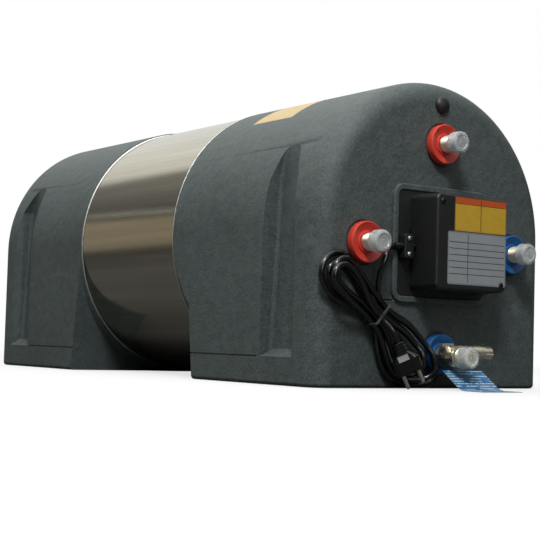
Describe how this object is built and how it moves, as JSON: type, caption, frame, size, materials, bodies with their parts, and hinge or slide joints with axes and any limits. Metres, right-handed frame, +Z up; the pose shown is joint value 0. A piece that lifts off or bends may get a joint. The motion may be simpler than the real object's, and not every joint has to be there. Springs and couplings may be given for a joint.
{
  "type": "horizontal storage water heater",
  "caption": "Horizontal storage water heater: arched plastic end shells on feet, steel jacket, electric box with tied mains cord, capped pipe fittings and a safety valve.",
  "frame": {"origin": "on the base plane, at the centre of the four threaded inserts under the feet", "axes": "+Z up, -Y out of the front panel with the fittings, +X to the right of someone who faces the panel"},
  "size_m": [0.3797, 0.958, 0.3821],
  "materials": {
    "shell_plastic": "textured matte",
    "jacket_steel": "brushed",
    "seam_metal": "bright",
    "foam": "foam",
    "tank_steel": "satin",
    "gasket_rubber": "matte",
    "screw_steel": "polished",
    "element_sheath": "satin",
    "anode_metal": "satin",
    "red_plastic": "satin",
    "blue_plastic": "satin",
    "milky_plastic": "translucent",
    "black_plastic": "matte",
    "dial_plastic": "satin",
    "reset_plastic": "satin",
    "cord_pvc": "satin",
    "tie_film": "clear",
    "pin_metal": "polished",
    "nickel_brass": "plated",
    "spring_steel": "satin",
    "tag_paper": "matte",
    "thread_tie": "matte"
  },
  "bodies": {
    "heater": {"front_shell": "shell_plastic", "rear_shell": "shell_plastic", "steel_jacket": "jacket_steel", "front_seam_ring": "seam_metal", "rear_seam_ring": "seam_metal", "foam_core": "foam", "tank_shell": "tank_steel", "tank_front_head": "tank_steel", "tank_rear_head": "tank_steel", "heater_flange": "tank_steel", "thermowell": "tank_steel", "engine_coil": "tank_steel", "dip_pipe": "tank_steel", "hot_pickup": "tank_steel", "hot_stub": "tank_steel", "engine_out_stub": "tank_steel", "engine_in_stub": "tank_steel", "cold_stub": "tank_steel", "heater_gasket": "gasket_rubber", "heater_bolts": "screw_steel", "cover_screws": "screw_steel", "clamp_screws": "screw_steel", "heating_element": "element_sheath", "anode_rod": "anode_metal", "hot_collar": "red_plastic", "engine_out_collar": "red_plastic", "cold_collar": "blue_plastic", "engine_in_collar": "blue_plastic", "blank_plug": "black_plastic", "box_tray": "black_plastic", "box_cover": "black_plastic", "terminal_block": "black_plastic", "thermostat_body": "black_plastic", "clamp_bar": "black_plastic", "strain_relief": "cord_pvc", "power_lead": "cord_pvc", "cord_hank": "cord_pvc", "plug_body": "cord_pvc", "cord_tie": "tie_film", "plug_pins": "pin_metal", "valve_body": "nickel_brass", "valve_bonnet": "nickel_brass", "foot_inserts": "nickel_brass", "relief_spring": "spring_steel", "check_spring": "spring_steel", "paper_tag": "tag_paper", "tag_tie": "thread_tie"},
    "hot_cap_body": {"hot_cap": "milky_plastic"},
    "engine_out_cap_body": {"engine_out_cap": "milky_plastic"},
    "engine_in_cap_body": {"engine_in_cap": "milky_plastic"},
    "valve_cap_body": {"valve_cap": "milky_plastic"},
    "valve_knob_body": {"valve_knob": "black_plastic"},
    "relief_stem_body": {"relief_stem": "nickel_brass"},
    "check_disc_body": {"check_disc": "nickel_brass"},
    "thermostat_dial_body": {"thermostat_dial": "dial_plastic"},
    "reset_button_body": {"reset_button": "reset_plastic"}
  },
  "joints": [
    {"name": "hot_cap_pull", "type": "slide", "parent": "heater", "child": "hot_cap_body", "axis": [0, -1, 0], "range_m": [0, 0.04]},
    {"name": "engine_out_cap_pull", "type": "slide", "parent": "heater", "child": "engine_out_cap_body", "axis": [0, -1, 0], "range_m": [0, 0.04]},
    {"name": "engine_in_cap_pull", "type": "slide", "parent": "heater", "child": "engine_in_cap_body", "axis": [0, -1, 0], "range_m": [0, 0.04]},
    {"name": "valve_cap_pull", "type": "slide", "parent": "heater", "child": "valve_cap_body", "axis": [0, -1, 0], "range_m": [0, 0.04]},
    {"name": "valve_knob_turn", "type": "hinge", "parent": "heater", "child": "valve_knob_body", "pos_m": [0.05, -0.461, 0.0447], "axis": [1, 0, 0], "range_deg": [0, 90]},
    {"name": "relief_lift", "type": "slide", "parent": "heater", "child": "relief_stem_body", "axis": [-1, 0, 0], "range_m": [0, 0.002], "stiffness_N_per_m": 500, "springref_m": -0.003, "deforming": ["relief_spring"]},
    {"name": "check_open", "type": "slide", "parent": "heater", "child": "check_disc_body", "axis": [0, 1, 0], "range_m": [0, 0.004], "stiffness_N_per_m": 60, "springref_m": -0.003, "deforming": ["check_spring"]},
    {"name": "thermostat_turn", "type": "hinge", "parent": "heater", "child": "thermostat_dial_body", "pos_m": [0.043, -0.462, 0.164], "axis": [0, 1, 0], "range_deg": [0, 270]},
    {"name": "reset_press", "type": "slide", "parent": "heater", "child": "reset_button_body", "axis": [0, 1, 0], "range_m": [0, 0.002], "stiffness_N_per_m": 400, "springref_m": -0.001}
  ],
  "couplings": [
    {"joint": "valve_knob_turn", "follows": "relief_lift", "rad_per_m": 785}
  ]
}
